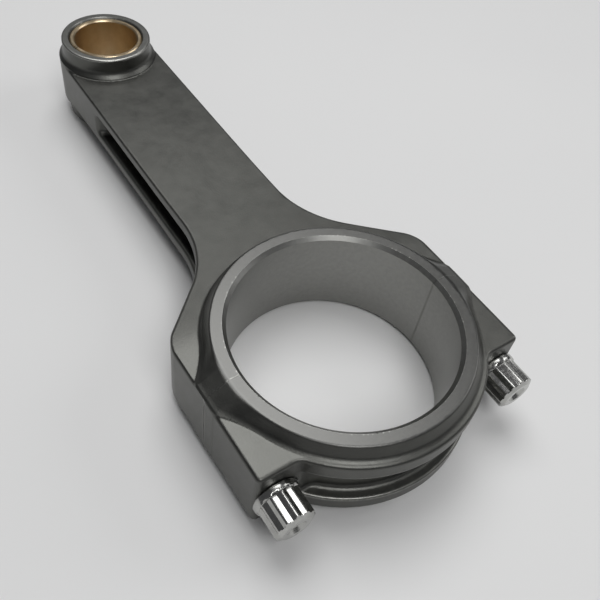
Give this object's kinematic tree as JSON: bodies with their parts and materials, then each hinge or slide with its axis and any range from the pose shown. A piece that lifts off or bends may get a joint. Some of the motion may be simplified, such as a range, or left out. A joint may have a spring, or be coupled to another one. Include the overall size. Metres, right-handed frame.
{
  "type": "connecting rod",
  "caption": "H-section engine connecting rod with a bolted big-end cap, raised thrust rings and a bronze piston-pin bush",
  "frame": {"origin": "on the crankpin axis, at the middle of the rod's thickness", "axes": "+Y from the big end to the small end, +Z along the crankpin and piston-pin axes, +X across the two cap bolts; the rod lies flat on its lower thrust face"},
  "size_m": [0.0702, 0.1677, 0.0244],
  "materials": {
    "peened_steel": "satin grey forged steel, shot peened, with machined rings and bores",
    "bronze": "honed tin bronze",
    "bolt_steel": "bright polished alloy steel",
    "dowel_steel": "ground hardened steel"
  },
  "bodies": {
    "rod": {"rod_body": "peened_steel", "small_end_bush": "bronze", "dowel_left": "dowel_steel", "dowel_right": "dowel_steel"},
    "cap": {"rod_cap": "peened_steel"},
    "bolt_left": {"cap_bolt_left": "bolt_steel"},
    "bolt_right": {"cap_bolt_right": "bolt_steel"}
  },
  "joints": [
    {"name": "cap_slide", "type": "slide", "parent": "rod", "child": "cap", "axis": [0, -1, 0], "range_m": [0, 0.03]},
    {"name": "bolt_left_slide", "type": "slide", "parent": "cap", "child": "bolt_left", "axis": [0, -1, 0], "range_m": [0, 0.036]},
    {"name": "bolt_right_slide", "type": "slide", "parent": "cap", "child": "bolt_right", "axis": [0, -1, 0], "range_m": [0, 0.036]}
  ]
}
